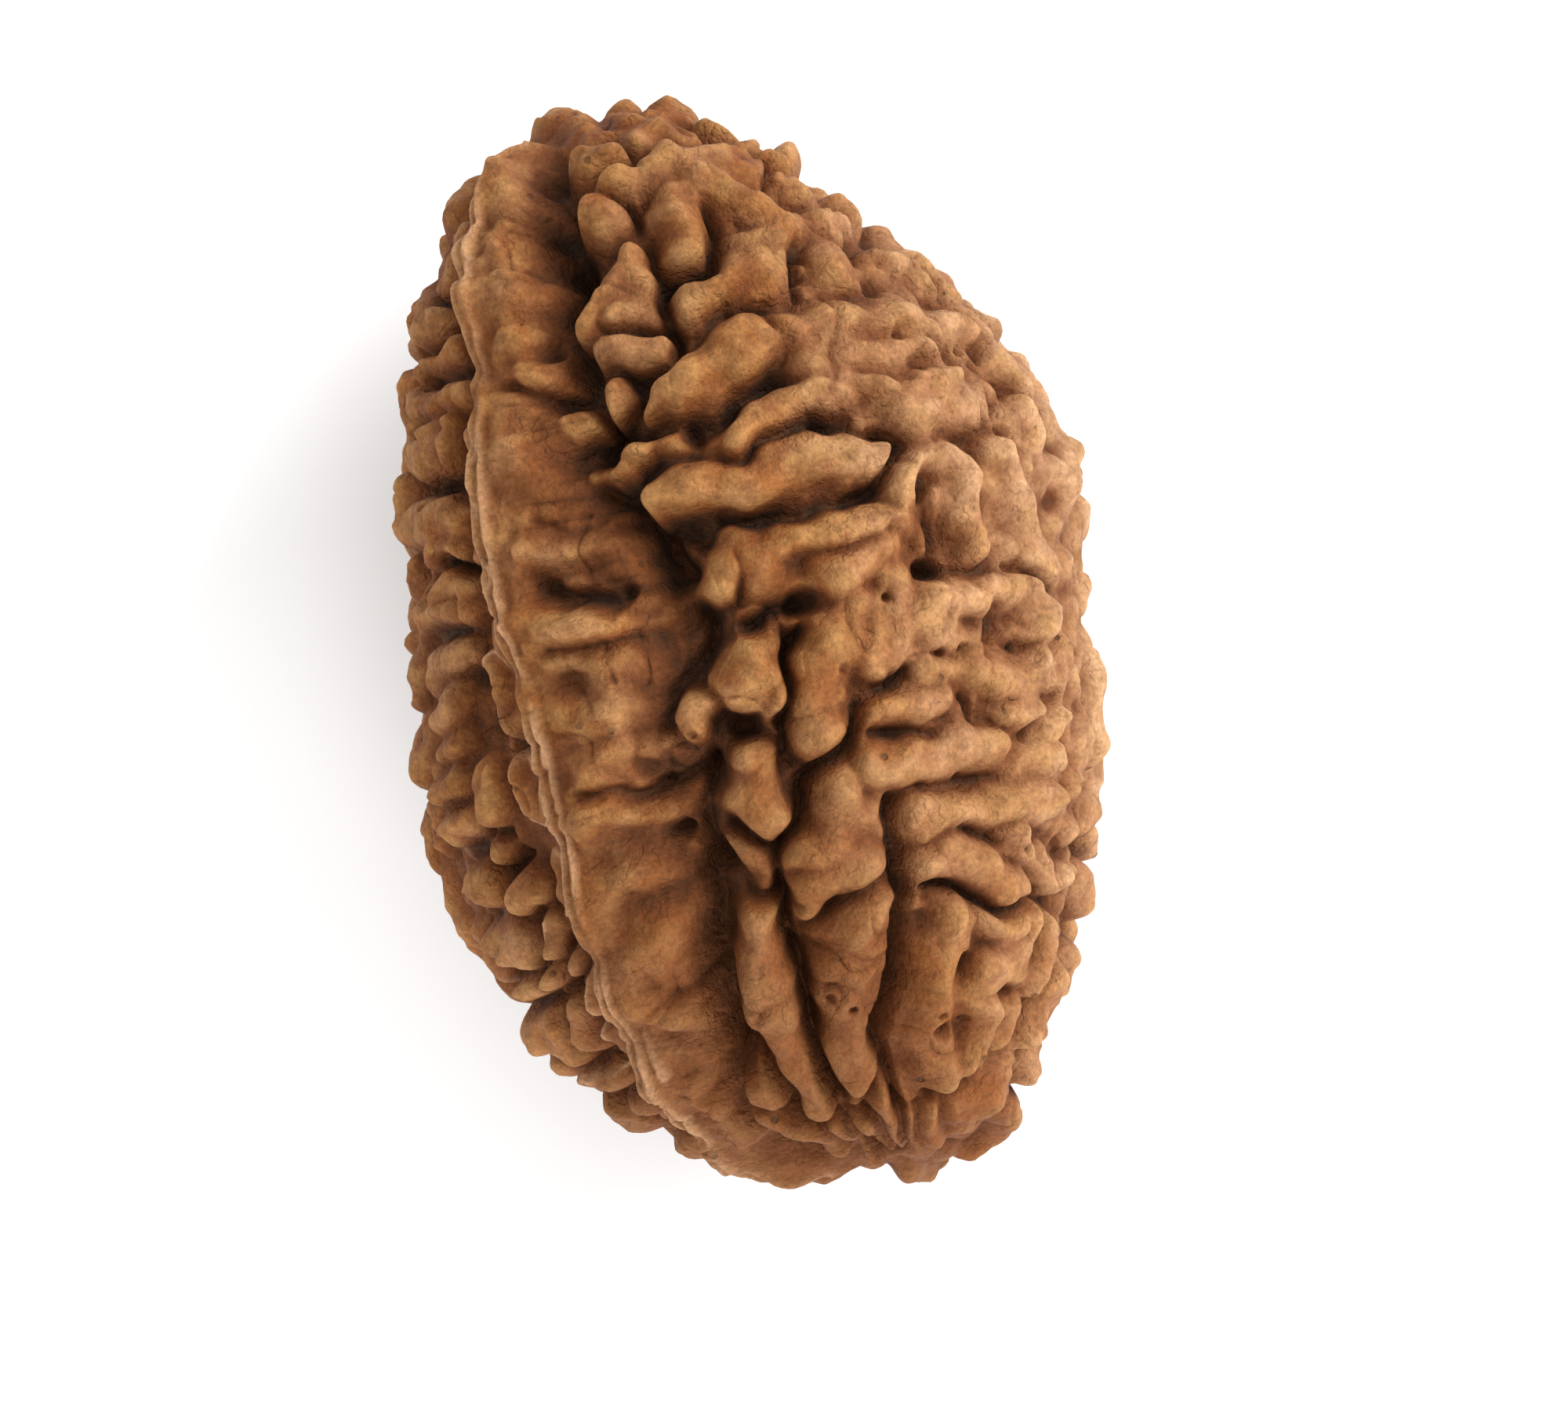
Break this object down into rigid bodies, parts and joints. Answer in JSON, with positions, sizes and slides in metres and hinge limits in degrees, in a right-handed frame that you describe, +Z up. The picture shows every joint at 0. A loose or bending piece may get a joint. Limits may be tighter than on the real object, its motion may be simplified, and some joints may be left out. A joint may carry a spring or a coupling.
{
  "type": "rudraksha bead",
  "caption": "Dry fruit stone, egg-shaped and deeply wrinkled, with a thin seam on a keel between shallow valleys from end to end.",
  "frame": {"origin": "middle of the bounding box in plan, at the level of the resting spot", "axes": "+Y along the bead, away from the end with the long clefts; +Z up from the surface it lies on; the seam seen from above lies towards -X"},
  "size_m": [0.0222, 0.0346, 0.0204],
  "materials": {
    "stone": "matt, dry and finely grained"
  },
  "bodies": {
    "root": {"bead": "stone"}
  },
  "joints": []
}
